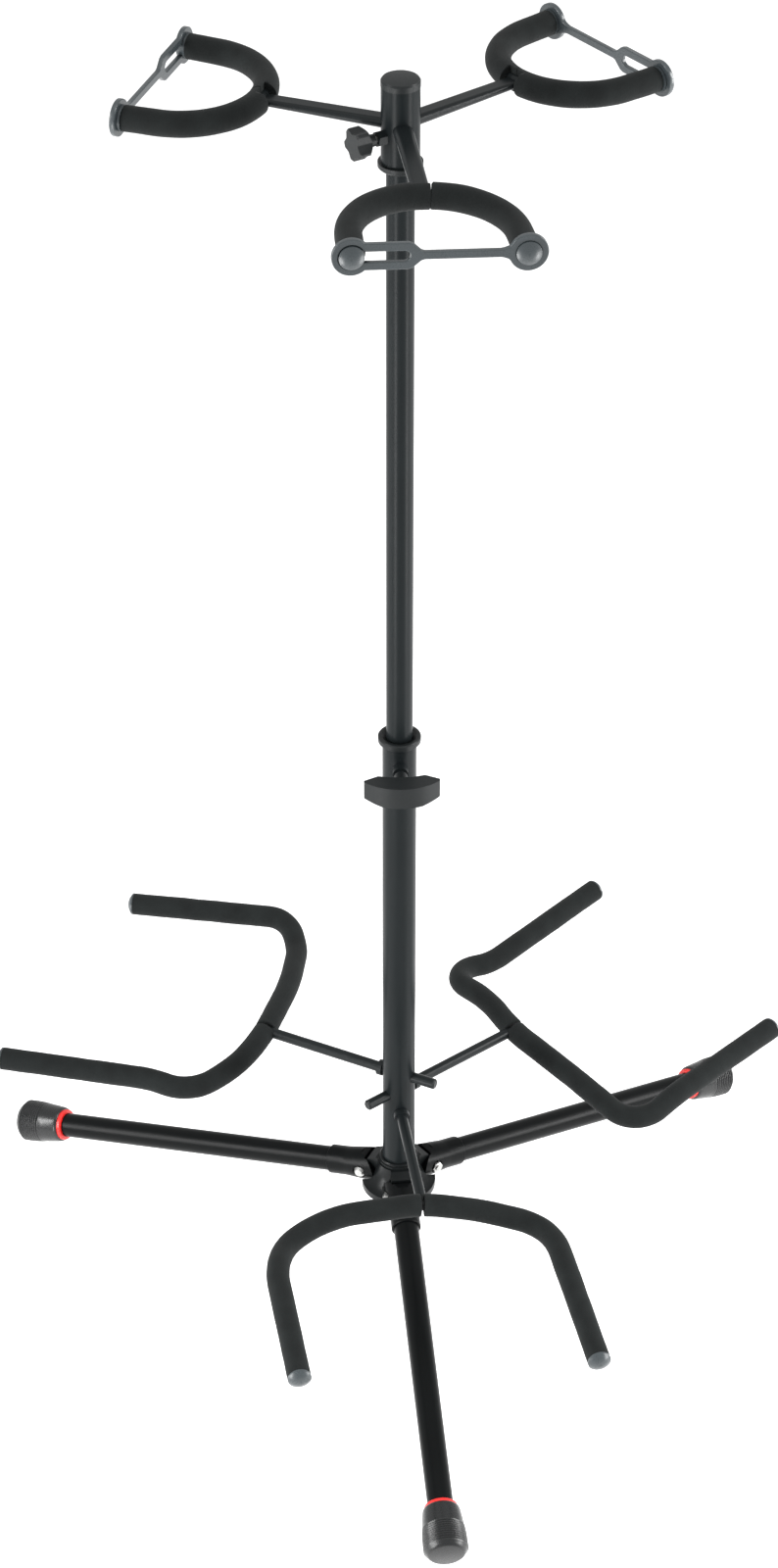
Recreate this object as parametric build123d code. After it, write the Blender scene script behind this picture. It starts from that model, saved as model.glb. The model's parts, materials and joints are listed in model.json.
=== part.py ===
from build123d import *
import math
import os

# Three-place floor stand for guitars. Millimetres, +Z up.
# Origin: where the mast axis meets the floor. The front leg points along -Y.
# Each radial piece is drawn with +X outward, +Y sideways and +Z up, then turned about the mast.

PLACES = {"front": 0.0, "right": 120.0, "left": -120.0}
GAP = 0.3

# Mast
LOWER_TUBE_D = 28.6
LOWER_TUBE_WALL = 1.5
LOWER_TUBE_BOTTOM = 90.0
LOWER_TUBE_TOP = 573.0
UPPER_TUBE_D = 22.2
UPPER_TUBE_WALL = 1.2
UPPER_TUBE_BOTTOM = 483.0
UPPER_TUBE_TOP = 1164.0
RUNNING_CLEARANCE = 0.06
BUSH_FLANGE_D = 36.0
BUSH_FLANGE_T = 5.5
BUSH_SLEEVE_LENGTH = 12.0
GLIDE_LENGTH = 18.0

# Hub and leg pivots
LEG_AZIMUTHS = {"front": 0.0, "right": 121.5, "left": -121.5}
HUB_BOTTOM = 86.5
HUB_TOP = 115.0
BOSS_R = 19.0
SKIRT_R = 33.0
SKIRT_EDGE = 6.0
BASE_COLLAR_T = 3.0
BASE_RING_R = 17.0
BASE_RING_T = 2.5
PIVOT_R = 32.6
PIVOT_Z = 97.0
LUG_R = 10.5
LUG_HALF = 9.0
SADDLE_R = 26.7
SADDLE_Z = 111.5
CHEEK_IN = 9.3
SPOT_FACE = 12.4
SPOT_FACE_R = 6.4
POCKET_HALF = 16.8
POCKET_START_R = 18.2
BOLT_D = 6.0
BOLT_HEAD_R = 5.2
BOLT_HEAD_T = 3.4
NUT_AF = 9.5
NUT_T = 3.6

# Legs, along the leg axis measured from the pivot
LEG_SLOPE = 12.8
LEG_D = 22.2
LEG_WALL = 1.2
NOSE_R = 14.0
ROOF_START = -5.6
SLEEVE_R = 13.1
SLEEVE_START = 18.0
SLEEVE_END = 34.5
TUBE_START = 12.0
RING_START = 319.8
FOOT_START = 323.6
TUBE_END = 362.0
FOOT_END = 367.5
RED_RING_R = 14.2

# Height clamp on the lower tube
CLAMP_Z = 552.5
CLAMP_TURN = -3.0
BOSS_D = 13.0
CLAMP_BOSS_END = 21.0
SCREW_D = 6.0
SCREW_TIP = 11.4
KNOB_NECK_START = 24.0
KNOB_FACE = 56.0
KNOB_WIDTH = 63.0
KNOB_SAGITTA = 12.0
KNOB_HEIGHT = 19.5
SCREW_END = 41.0

# Swivel head
HEAD_D = 30.0
HEAD_BORE = 25.4
HEAD_BOTTOM = 1108.0
HEAD_TOP = 1170.5
HEAD_BUSH_D = 35.0
CAP_TOP = 1177.0
HEAD_KNOB_TURN = -66.0
HEAD_KNOB_Z = 1131.0
HEAD_NUT_AF = 11.0
HEAD_NUT_END = 21.5
STAR_CENTRE = 35.5
STAR_R = 14.0
STAR_VALLEY_R = 9.0
STAR_T = 13.0
STAR_LOBES = 5

# Neck yokes on the head
YOKES = {
    "front": {"turn": 2.1, "roll": -2.4, "z": 1137.0},
    "right": {"turn": 2.4, "roll": 0.0, "z": 1140.0},
    "left": {"turn": 3.9, "roll": -1.0, "z": 1140.0},
}
ARM_ROOT_Z = 1139.5
ARM_ROOT_SIZE = (15.5, 8.5)
ARM_END_SIZE = (14.0, 5.5)
YOKE_ROD_D = 9.5
YOKE_APEX_R = 113.0
YOKE_R = 62.0
YOKE_SPLAY = 3.2
YOKE_TIP_R = 198.0
YOKE_FOAM_D = 20.5
YOKE_FOAM_GAP = 1.0
BUTTON_W = 64.0
BUTTON_D = 18.6
BUTTON_FRONT = 208.5
STRAP_BACK = 200.6
STRAP_T = 4.0
STRAP_RING_D = 29.0
STRAP_HOLE_D = 19.6
STRAP_BAR = 6.0
LOOP_HEIGHT = 21.0
LOOP_WINDOW = 8.6
LOOP_LENGTH = 43.0
LOOP_TAPER = 9.0
STRAP_HINGE_W = 44.0

# Body cradles on the lower tube
CRADLES = {
    "front": {"turn": 2.9, "roll": -4.1, "rise": -1.0, "z": 178.5},
    "right": {"turn": 3.1, "roll": 3.0, "rise": -0.2, "z": 194.9},
    "left": {"turn": -1.7, "roll": -0.3, "rise": 0.4, "z": 213.9},
}
SHANK_D = 9.5
STUB_R = -36.0
CRADLE_R = 132.5
FERRULE_D = 14.0
FERRULE_START = 14.8
FERRULE_END = 19.5
CRADLE_FOAM_D = 20.0
CRADLE_FOAM_GAP = 3.0
CRADLE_CAP_T = 1.5
CRADLE_CAP_RISE = 4.2
# A fork's line from its left tip to its right one, as outward, sideways, up from the weld.
# Its bends differ a little from fork to fork; the weld is the middle one.
CRADLE_LINES = {
    "front": [
        (190.5, -132.1, -10.9), (69.0, -135.7, -5.6), (26.7, -122.0, -14.1), (6.9, -80.9, -3.6), (0.0, 0.0, 0.0),
        (9.4, 50.0, -1.7), (22.1, 98.2, -9.6), (49.5, 109.8, -6.3), (189.8, 119.9, -10.7),
    ],
    "right": [
        (198.9, -128.3, -11.6), (67.2, -147.2, -5.3), (15.9, -150.7, -17.4), (6.4, -77.4, -4.7), (0.0, 0.0, 0.0),
        (7.6, 46.0, 1.3), (5.2, 106.6, -8.0), (54.3, 94.9, -13.0), (199.4, 116.5, -11.6),
    ],
    "left": [
        (201.7, -123.6, -12.2), (58.6, -157.9, -4.0), (35.5, -133.6, -14.4), (13.1, -73.9, -4.8), (0.0, 0.0, 0.0),
        (0.4, 47.2, -3.2), (23.1, 99.3, -6.1), (63.6, 96.6, -7.0), (198.4, 124.7, -12.1),
    ],
}
CRADLE_RADII = {
    "front": [80.0, 42.0, 125.0, 120.0, 250.0, 32.0, 70.0],
    "right": [90.0, 30.0, 300.0, 140.0, 150.0, 27.0, 70.0],
    "left": [30.0, 50.0, 250.0, 120.0, 130.0, 35.0, 100.0],
}


def write(name, shape):
    """Write one node as a STEP file."""
    shape.label = name
    export_step(shape, f"parts/{name}.step")


def turned(points):
    """Solid of revolution about Z from (radius, height) points."""
    return revolve(Plane.XZ * make_face(Polyline(*points, close=True)), Axis.Z)


def tube(outer, inner, low, high):
    """Round tube standing on Z from low to high."""
    middle = (low + high) / 2
    wall = Cylinder(outer / 2, high - low) - Cylinder(inner / 2, high - low)
    return Pos(0, 0, middle) * wall


def rod(diameter, start, end):
    """Round bar lying on X from start to end."""
    return Pos((start + end) / 2, 0, 0) * Rot(0, 90, 0) * Cylinder(diameter / 2, end - start)


def around(azimuth, shape):
    """Turn a radial piece, drawn along +X, to its azimuth from -Y towards +X."""
    return Rot(0, 0, azimuth - 90) * shape


def hexagon_nut(across_flats, thickness, bore):
    """Hexagon nut on Z, from 0 up, with one chamfered face."""
    blank = extrude(RegularPolygon(across_flats / 2, 6, major_radius=False), thickness)
    corner = across_flats / math.sqrt(3)
    crown = turned([(0, 0), (corner, 0), (corner, thickness - 0.8), (corner - 1.2, thickness), (0, thickness)])
    return (blank & crown) - Cylinder(bore / 2, 4 * thickness)


# Mast ---------------------------------------------------------------------------------------

def cradle_place(name):
    """Location that puts a cradle, drawn along +X from the mast axis, in its hole."""
    data = CRADLES[name]
    turn = Rot(0, 0, PLACES[name] + data["turn"] - 90)
    return Pos(0, 0, data["z"]) * turn * Rot(0, -data["rise"], 0)


def lower_tube():
    """Lower mast tube, cross-drilled for the three cradles and for the clamp screw."""
    body = tube(LOWER_TUBE_D, LOWER_TUBE_D - 2 * LOWER_TUBE_WALL, LOWER_TUBE_BOTTOM, LOWER_TUBE_TOP)
    for name in PLACES:
        body -= cradle_place(name) * rod(SHANK_D + 2 * RUNNING_CLEARANCE, -20, 20)
    screw_hole = rod(SCREW_D + 2 * RUNNING_CLEARANCE, 8, 20)
    return body - Pos(0, 0, CLAMP_Z) * around(CLAMP_TURN, screw_hole)


def mast_bush():
    """Flanged plastic bush in the top of the lower tube, dished round the upper tube."""
    bore = UPPER_TUBE_D / 2 + RUNNING_CLEARANCE
    sleeve = LOWER_TUBE_D / 2 - LOWER_TUBE_WALL
    top = LOWER_TUBE_TOP + BUSH_FLANGE_T
    flange = BUSH_FLANGE_D / 2
    return turned([
        (bore, LOWER_TUBE_TOP - BUSH_SLEEVE_LENGTH),
        (sleeve, LOWER_TUBE_TOP - BUSH_SLEEVE_LENGTH),
        (sleeve, LOWER_TUBE_TOP),
        (flange - 0.6, LOWER_TUBE_TOP),
        (flange, LOWER_TUBE_TOP + 0.6),
        (flange, top - 1.0),
        (flange - 1.0, top),
        (flange - 3.2, top),
        (bore, top - 2.2),
    ])


def upper_tube():
    """Upper mast tube, free to slide in the lower one."""
    return tube(UPPER_TUBE_D, UPPER_TUBE_D - 2 * UPPER_TUBE_WALL, UPPER_TUBE_BOTTOM, UPPER_TUBE_TOP)


def tube_glide():
    """Plastic collar that guides the upper tube's lower end inside the lower tube."""
    outer = LOWER_TUBE_D - 2 * LOWER_TUBE_WALL - 2 * RUNNING_CLEARANCE
    return tube(outer, UPPER_TUBE_D, UPPER_TUBE_BOTTOM, UPPER_TUBE_BOTTOM + GLIDE_LENGTH)


# Hub ----------------------------------------------------------------------------------------

def at_pivot(azimuth, shape):
    """Place a piece drawn about a leg's pivot, X outward and level."""
    return around(azimuth, Pos(PIVOT_R, 0, PIVOT_Z) * shape)


def across(radius, length):
    """Cylinder along Y, centred."""
    return Rot(90, 0, 0) * Cylinder(radius, length)


def hub_lug():
    """Lug of one leg about its pivot, with a saddle up to the boss and the bolt's hole."""
    inner = 10 - PIVOT_R
    top = HUB_TOP - PIVOT_Z
    side = Plane.XZ * make_face(Polyline(
        (inner, -LUG_R), (0, -LUG_R), (0, LUG_R), (SADDLE_R - PIVOT_R, LUG_R),
        (SADDLE_R - PIVOT_R, SADDLE_Z - PIVOT_Z), (BOSS_R - PIVOT_R, top), (inner, top), close=True))
    lug = extrude(side, LUG_HALF, both=True) + across(LUG_R, 2 * LUG_HALF)
    return lug - across(BOLT_D / 2, 3 * LUG_HALF)


def hub():
    """Cast hub: a boss for the mast, a flared skirt and a pocket with a lug for each leg."""
    skirt = Plane.XZ * make_face([
        Line((0, HUB_BOTTOM), (SKIRT_R, HUB_BOTTOM)),
        Line((SKIRT_R, HUB_BOTTOM), (SKIRT_R, HUB_BOTTOM + SKIRT_EDGE)),
        ThreePointArc((SKIRT_R, HUB_BOTTOM + SKIRT_EDGE), (BOSS_R + 4.2, HUB_BOTTOM + 13), (BOSS_R, HUB_TOP)),
        Line((BOSS_R, HUB_TOP), (0, HUB_TOP)),
        Line((0, HUB_TOP), (0, HUB_BOTTOM)),
    ])
    body = revolve(skirt, Axis.Z)
    pocket = Pos(POCKET_START_R + 25, 0, HUB_BOTTOM) * Box(50, 2 * POCKET_HALF, 120)
    for azimuth in LEG_AZIMUTHS.values():
        body = body - around(azimuth, pocket) + at_pivot(azimuth, hub_lug())
    return body - Pos(0, 0, LOWER_TUBE_BOTTOM + 50) * Cylinder(LOWER_TUBE_D / 2, 100)


def base_ring():
    """Collar with a narrow raised edge that covers the joint of mast and hub."""
    inner = LOWER_TUBE_D / 2
    middle = HUB_TOP + BASE_COLLAR_T
    top = middle + BASE_RING_T
    return turned([
        (inner, HUB_TOP),
        (BASE_RING_R + 0.8, HUB_TOP),
        (BASE_RING_R + 0.8, middle - 0.6),
        (BASE_RING_R - 0.6, middle),
        (BASE_RING_R, middle + 0.6),
        (BASE_RING_R, top - 0.8),
        (BASE_RING_R - 0.8, top),
        (inner, top),
    ])


def leg_bolts():
    """Three domed pivot bolts, one solid each."""
    face = SPOT_FACE + GAP
    spare = NUT_T + 1.2
    shank = Pos(0, 0, -spare / 2) * Cylinder(BOLT_D / 2, 2 * face + spare)
    head = turned([
        (0, face),
        (BOLT_HEAD_R, face),
        (BOLT_HEAD_R, face + 1.2),
        (BOLT_HEAD_R - 1.6, face + BOLT_HEAD_T),
        (0, face + BOLT_HEAD_T),
    ])
    bolt = Rot(-90, 0, 0) * (shank + head)
    return Compound(children=[at_pivot(azimuth, bolt) for azimuth in LEG_AZIMUTHS.values()])


def leg_nuts():
    """Three hexagon nuts on the pivot bolts."""
    nut = Rot(90, 0, 0) * Pos(0, 0, SPOT_FACE + GAP) * hexagon_nut(NUT_AF, NUT_T, BOLT_D)
    return Compound(children=[at_pivot(azimuth, nut) for azimuth in LEG_AZIMUTHS.values()])


# Legs ---------------------------------------------------------------------------------------

def on_leg(azimuth, shape):
    """Place a piece drawn in the leg's frame: origin at the pivot, X along the leg, Z up."""
    return at_pivot(azimuth, Rot(0, LEG_SLOPE, 0) * shape)


def along_leg(points):
    """Turned piece on the leg axis from (radius, distance from the pivot) points."""
    return Rot(0, 90, 0) * turned(points)


def bracket_slot():
    """Room for the hub's lug inside a bracket, over the leg's whole fold."""
    clear = LUG_R + GAP
    width = 2 * CHEEK_IN
    slot = across(clear, width)
    slot += Pos(clear - 30, 0, -30) * Box(60, width, 60)
    slot += Pos(ROOF_START - 30, 0, 0) * Box(60, width, 60)
    level = Pos(-30, 0, clear - 30) * Box(60, width, 60)
    return slot + Rot(0, -LEG_SLOPE, 0) * level


def leg_bracket():
    """Bracket: two rounded cheeks and a roof over the hub's lug, running out into a sleeve."""
    bell = along_leg([
        (0, -NOSE_R - 1),
        (15.6, -NOSE_R - 1),
        (14.9, -3),
        (14.1, 7.5),
        (SLEEVE_R + 0.1, SLEEVE_START - 1),
        (SLEEVE_R, SLEEVE_START + 2),
        (SLEEVE_R, SLEEVE_END - 0.6),
        (SLEEVE_R - 0.6, SLEEVE_END),
        (0, SLEEVE_END),
    ])
    nose = across(NOSE_R, 60) + Pos(50, 0, 0) * Box(100, 60, 60)
    spot = across(SPOT_FACE_R, 100) - across(SPOT_FACE_R + 1, 2 * SPOT_FACE)
    bore = rod(LEG_D, TUBE_START, SLEEVE_END + 10)
    hole = across(BOLT_D / 2 + RUNNING_CLEARANCE, 60)
    return (bell & nose) - bracket_slot() - spot - bore - hole


def leg_tube():
    """Leg tube from inside the bracket's sleeve to inside the foot."""
    return rod(LEG_D, TUBE_START, TUBE_END) - rod(LEG_D - 2 * LEG_WALL, TUBE_START - 5, TUBE_END + 5)


def red_ring():
    """Coloured collar on the leg against the rubber foot."""
    inner = LEG_D / 2
    return along_leg([
        (inner, RING_START),
        (RED_RING_R - 1.0, RING_START),
        (RED_RING_R, RING_START + 1.0),
        (RED_RING_R, FOOT_START),
        (inner, FOOT_START),
    ])


def rubber_foot(azimuth):
    """Rubber boot over the end of the leg, with a small flat sole on the floor."""
    inner = LEG_D / 2
    boot = along_leg([
        (inner, FOOT_START),
        (15.4, FOOT_START),
        (16.2, FOOT_START + 1.8),
        (17.0, FOOT_START + 7.5),
        (18.2, FOOT_START + 20),
        (19.0, FOOT_START + 30),
        (18.9, FOOT_START + 36),
        (17.8, FOOT_START + 40.5),
        (14.6, FOOT_END),
        (0, FOOT_END),
        (0, TUBE_END),
        (inner, TUBE_END),
    ])
    floor = Pos(0, 0, -50) * Box(1200, 1200, 100)
    return on_leg(azimuth, boot) - floor


# Height clamp -------------------------------------------------------------------------------

def on_clamp(shape):
    """Place a piece drawn along +X from the mast axis at the clamp's height."""
    return Pos(0, 0, CLAMP_Z) * around(CLAMP_TURN, shape)


def clamp_boss():
    """Round threaded boss welded to the lower tube."""
    start = LOWER_TUBE_D / 2 - 1.0
    boss = rod(BOSS_D, start, CLAMP_BOSS_END) - rod(SCREW_D + 2 * RUNNING_CLEARANCE, start - 5, 40)
    mast = Cylinder(LOWER_TUBE_D / 2, 60)
    return on_clamp(boss - mast)


def clamp_knob():
    """Wide wing knob with a bowed front face and a tapering neck, bored for its screw."""
    half = KNOB_WIDTH / 2
    end_x = KNOB_FACE - KNOB_SAGITTA
    outline = make_face([
        ThreePointArc((end_x, -half), (KNOB_FACE, 0), (end_x, half)),
        Line((end_x, half), (end_x - 2.5, half)),
        Line((end_x - 2.5, half), (end_x - 8.5, half - 12)),
        Line((end_x - 8.5, half - 12), (end_x - 6.0, 8.5)),
        Line((end_x - 6.0, 8.5), (end_x - 6.0, -8.5)),
        Line((end_x - 6.0, -8.5), (end_x - 8.5, 12 - half)),
        Line((end_x - 8.5, 12 - half), (end_x - 2.5, -half)),
        Line((end_x - 2.5, -half), (end_x, -half)),
    ])
    wing = extrude(outline, KNOB_HEIGHT / 2, both=True)
    low = KNOB_HEIGHT / 2
    side = Plane.YZ * make_face(Polyline(
        (-half, low), (half, low), (half, 3.5 - low), (half - 15, -low), (15 - half, -low), (-half, 3.5 - low),
        close=True))
    wing = wing & extrude(side, 100)
    wing = fillet(wing.edges().filter_by(Axis.Z).sort_by(Axis.X)[-2:], 2.0)
    neck = Rot(0, 90, 0) * turned([
        (0, KNOB_NECK_START),
        (5.6, KNOB_NECK_START),
        (6.4, KNOB_NECK_START + 6),
        (8.6, end_x - 4),
        (0, end_x - 4),
    ])
    bore = rod(SCREW_D + 2 * RUNNING_CLEARANCE, 0, SCREW_END + GAP)
    return on_clamp(wing + neck - bore)


def clamp_screw():
    """Clamping screw from the upper tube out into the knob."""
    return on_clamp(rod(SCREW_D, SCREW_TIP, SCREW_END))


# Swivel head --------------------------------------------------------------------------------

def head_tube():
    """Head tube with a hole for the lock screw."""
    body = tube(HEAD_D, HEAD_BORE, HEAD_BOTTOM, HEAD_TOP)
    return body - Pos(0, 0, HEAD_KNOB_Z) * around(HEAD_KNOB_TURN, rod(SCREW_D + 2 * RUNNING_CLEARANCE, 8, 20))


def head_bush():
    """Flanged bush under the head tube that turns on the upper mast tube."""
    bore = UPPER_TUBE_D / 2 + RUNNING_CLEARANCE
    outer = HEAD_BUSH_D / 2
    return turned([
        (bore, HEAD_BOTTOM - 5.0),
        (outer - 1.4, HEAD_BOTTOM - 5.0),
        (outer, HEAD_BOTTOM - 3.6),
        (outer, HEAD_BOTTOM),
        (HEAD_BORE / 2, HEAD_BOTTOM),
        (HEAD_BORE / 2, HEAD_BOTTOM + 12.0),
        (bore, HEAD_BOTTOM + 12.0),
    ])


def head_cap():
    """Domed plug in the top of the head tube, with a pad that rests on the upper tube."""
    outer = HEAD_D / 2 + 0.2
    dome = Pos(0, 0, CAP_TOP - 130) * Sphere(130)
    plug = turned([
        (0, UPPER_TUBE_TOP + GAP),
        (HEAD_BORE / 2, UPPER_TUBE_TOP + GAP),
        (HEAD_BORE / 2, HEAD_TOP),
        (outer, HEAD_TOP),
        (outer, CAP_TOP - 2.2),
        (outer - 1.0, CAP_TOP - 0.8),
        (outer - 2.6, CAP_TOP + 2),
        (0, CAP_TOP + 2),
    ])
    return plug & dome


def head_nut():
    """Weld nut for the lock screw, shaped to the head tube."""
    start = HEAD_D / 2 - 2.5
    nut = hexagon_nut(HEAD_NUT_AF, HEAD_NUT_END - start, SCREW_D + 2 * RUNNING_CLEARANCE)
    nut = Pos(start, 0, 0) * Rot(0, 90, 0) * nut
    nut -= Cylinder(HEAD_D / 2, 60)
    return Pos(0, 0, HEAD_KNOB_Z) * around(HEAD_KNOB_TURN, nut)


def head_screw():
    """Lock screw from the upper tube out into the star knob."""
    return Pos(0, 0, HEAD_KNOB_Z) * around(HEAD_KNOB_TURN, rod(SCREW_D, SCREW_TIP, STAR_CENTRE + 3))


def star_knob():
    """Five-lobed lock knob on a short neck."""
    back = STAR_CENTRE - STAR_T / 2
    corners = []
    for corner in range(2 * STAR_LOBES):
        radius = STAR_VALLEY_R if corner % 2 else STAR_R + 1.0
        angle = math.radians(corner * 180 / STAR_LOBES)
        corners.append((radius * math.cos(angle), radius * math.sin(angle)))
    outline = make_face(Polyline(*corners, close=True))
    outline = fillet(outline.vertices(), 2.2)
    body = extrude(outline, STAR_T)
    body = body & turned([
        (0, 0), (STAR_R - 5.0, 0), (STAR_R, 4.0), (STAR_R, STAR_T - 2.0), (STAR_R - 2.0, STAR_T), (0, STAR_T)])
    neck_length = back - HEAD_NUT_END - 1.6
    neck = turned([(0, -neck_length), (4.6, -neck_length), (5.6, 1.0), (0, 1.0)])
    knob = Pos(back, 0, 0) * Rot(0, 90, 0) * (body + neck)
    knob -= rod(SCREW_D + 2 * RUNNING_CLEARANCE, 0, STAR_CENTRE + 3 + GAP)
    return Pos(0, 0, HEAD_KNOB_Z) * around(HEAD_KNOB_TURN, knob)


# Neck yokes ---------------------------------------------------------------------------------

def on_yoke(name, shape):
    """Place a yoke piece, drawn with the yoke's own plane level at zero, on the head."""
    data = YOKES[name]
    return Pos(0, 0, data["z"]) * around(PLACES[name] + data["turn"], Rot(data["roll"], 0, 0) * shape)


def yoke_path(side):
    """Half of the yoke's centre line, from the weld past one tip; side is +1 or -1."""
    centre = YOKE_APEX_R + YOKE_R
    bend = CenterArc((centre, 0), YOKE_R, 180, (YOKE_SPLAY - 90) * side)
    prong = PolarLine(bend @ 1, YOKE_TIP_R + 6 - (bend @ 1).X, direction=bend % 1)
    return bend + prong


def beyond_tips():
    """Everything further out than the yoke's tips."""
    return Pos(YOKE_TIP_R + 50, 0, 0) * Box(100, 300, 60)


def swept(path, section):
    """Sweep a flat section along a path, square to its start."""
    return sweep(Plane(path @ 0, z_dir=path % 0) * section, path=path)


def yoke_arm(name):
    """Flattened arm tube from the head to the yoke's bend, flatter at the weld."""
    start = Vector(HEAD_D / 2 - 3.0, 0, ARM_ROOT_Z - YOKES[name]["z"])
    end = Vector(YOKE_APEX_R, 0, 0)
    sections = []
    for point, size in ((start, ARM_ROOT_SIZE), (end, ARM_END_SIZE)):
        plane = Plane(point, x_dir=(0, 1, 0), z_dir=end - start)
        sections.append(plane * SlotOverall(*size))
    return loft(sections)


def yoke_frame(name):
    """Steel yoke: flattened arm welded to a U-shaped rod."""
    rods = swept(yoke_path(1), Circle(YOKE_ROD_D / 2)) + swept(yoke_path(-1), Circle(YOKE_ROD_D / 2))
    head = Rot(-YOKES[name]["roll"], 0, 0) * Cylinder(HEAD_D / 2, 100)
    return rods + yoke_arm(name) - beyond_tips() - head


def yoke_foam(side):
    """Foam sleeve on half of the yoke, notched round the arm."""
    section = Circle(YOKE_FOAM_D / 2) - Circle(YOKE_ROD_D / 2)
    sleeve = swept(yoke_path(side), section)
    slab = Pos(YOKE_APEX_R, 0, 0) * Box(60, YOKE_FOAM_GAP, 60)
    notch = Pos(YOKE_APEX_R - 30, 0, 0) * Box(60, ARM_ROOT_SIZE[0] + 1.0, 60)
    return sleeve - slab - notch - beyond_tips()


def yoke_buttons():
    """Two domed end buttons, plugged on the yoke's tips."""
    dome_radius = 17.0
    shoulder = STRAP_BACK - GAP - YOKE_TIP_R
    reach = BUTTON_FRONT - YOKE_TIP_R
    shape = turned([
        (0, 0),
        (YOKE_FOAM_D / 2, 0),
        (YOKE_FOAM_D / 2, shoulder),
        (BUTTON_D / 2, shoulder),
        (BUTTON_D / 2, reach),
        (0, reach),
    ])
    shape = shape & (Pos(0, 0, reach - dome_radius) * Sphere(dome_radius))
    shape = Rot(0, 90, 0) * shape
    return [Pos(YOKE_TIP_R, side * BUTTON_W, 0) * shape for side in (1, -1)]


def strap_blank(outline):
    """Extrude a strap outline, drawn in (sideways, up), to the strap's thickness."""
    plane = Plane((STRAP_BACK, 0, 0), x_dir=(0, 1, 0), z_dir=(1, 0, 0))
    return extrude(plane * outline, STRAP_T)


def strap_anchor():
    """Fixed end of the neck strap: a ring round the button, tapering to the strap's bar."""
    ring = Pos(BUTTON_W, 0) * Circle(STRAP_RING_D / 2)
    edge = STRAP_HINGE_W + STRAP_T / 2 + GAP
    root = BUTTON_W - 12.5
    half = STRAP_BAR / 2
    tab = make_face(Polyline((root, 7.5), (edge, half), (edge, -half), (root, -7.5), close=True))
    hole = Pos(BUTTON_W, 0) * Circle(BUTTON_D / 2)
    return strap_blank(ring + tab - hole)


def neck_strap():
    """Swinging part of the strap: a bar, then a keyhole loop that drops over the other button."""
    ring = Pos(-BUTTON_W, 0) * Circle(STRAP_RING_D / 2)
    loop_end = -BUTTON_W + LOOP_LENGTH
    bar_start = loop_end + LOOP_TAPER
    half = LOOP_HEIGHT / 2
    loop = make_face(Polyline(
        (-BUTTON_W + 9.0, half), (loop_end, half), (bar_start, STRAP_BAR / 2),
        (bar_start, -STRAP_BAR / 2), (loop_end, -half), (-BUTTON_W + 9.0, -half), close=True))
    bar_length = STRAP_HINGE_W - bar_start
    bar = Pos(bar_start + bar_length / 2, 0) * Rectangle(bar_length, STRAP_BAR)
    hole = Pos(-BUTTON_W, 0) * Circle(STRAP_HOLE_D / 2)
    window = Pos((-BUTTON_W + loop_end) / 2, 0) * Rectangle(LOOP_LENGTH, LOOP_WINDOW)
    strap = strap_blank(ring + loop + bar - hole - window)
    root = Pos(STRAP_BACK + STRAP_T / 2, STRAP_HINGE_W, 0) * Cylinder(STRAP_T / 2, STRAP_BAR)
    return strap + root


# Body cradles -------------------------------------------------------------------------------

def on_cradle(name, shape):
    """Roll a cradle piece about its shank and put it in its hole in the mast."""
    return cradle_place(name) * Rot(CRADLES[name]["roll"], 0, 0) * shape


def cradle_line(name):
    """Centre line of a cradle's fork, from its left tip to its right one."""
    return Pos(CRADLE_R, 0, 0) * FilletPolyline(*CRADLE_LINES[name], radius=CRADLE_RADII[name])


def cradle_rod(name):
    """Cradle steelwork: U-shaped rod, straight shank and the collar that stops at the mast."""
    fork = swept(cradle_line(name), Circle(SHANK_D / 2))
    shank = rod(SHANK_D, STUB_R, CRADLE_R)
    shank = chamfer(shank.edges().sort_by(Axis.X)[0], 1.2)
    collar = rod(FERRULE_D, FERRULE_START, FERRULE_END)
    return fork + shank + collar


def cradle_foam(name, side):
    """Foam sleeve on half of a cradle, cut back at the weld; side is +1 or -1."""
    section = Circle(CRADLE_FOAM_D / 2) - Circle(SHANK_D / 2)
    sleeve = swept(cradle_line(name), section) - rod(SHANK_D, CRADLE_R - 40, CRADLE_R)
    reach = 200.0
    middle = side * (CRADLE_FOAM_GAP + reach) / 2
    return sleeve & (Pos(CRADLE_R + 80, middle, 0) * Box(400, reach, 100))


def cradle_caps(name):
    """Two domed caps on the cradle's tips."""
    radius = CRADLE_FOAM_D / 2
    dome_radius = (radius ** 2 + CRADLE_CAP_RISE ** 2) / (2 * CRADLE_CAP_RISE)
    length = CRADLE_CAP_T + CRADLE_CAP_RISE
    cap = Pos(0, 0, length / 2) * Cylinder(radius, length)
    cap = cap & (Pos(0, 0, length - dome_radius) * Sphere(dome_radius))
    line = cradle_line(name)
    tips = [Plane(line @ 0, z_dir=-(line % 0)), Plane(line @ 1, z_dir=line % 1)]
    return [tip.location * cap for tip in tips]


# Whole stand --------------------------------------------------------------------------------

def build_base():
    """Write the mast, the hub and the height clamp."""
    write("lower_tube", lower_tube())
    write("mast_bush", mast_bush())
    write("upper_tube", upper_tube())
    write("tube_glide", tube_glide())
    write("hub", hub())
    write("base_ring", base_ring())
    write("leg_pivot_bolts", leg_bolts())
    write("leg_pivot_nuts", leg_nuts())
    write("clamp_boss", clamp_boss())
    write("clamp_screw", clamp_screw())
    write("clamp_knob", clamp_knob())


def build_legs():
    """Write the three legs."""
    for name, azimuth in LEG_AZIMUTHS.items():
        write(f"leg_bracket_{name}", on_leg(azimuth, leg_bracket()))
        write(f"leg_tube_{name}", on_leg(azimuth, leg_tube()))
        write(f"red_ring_{name}", on_leg(azimuth, red_ring()))
        write(f"rubber_foot_{name}", rubber_foot(azimuth))


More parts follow.
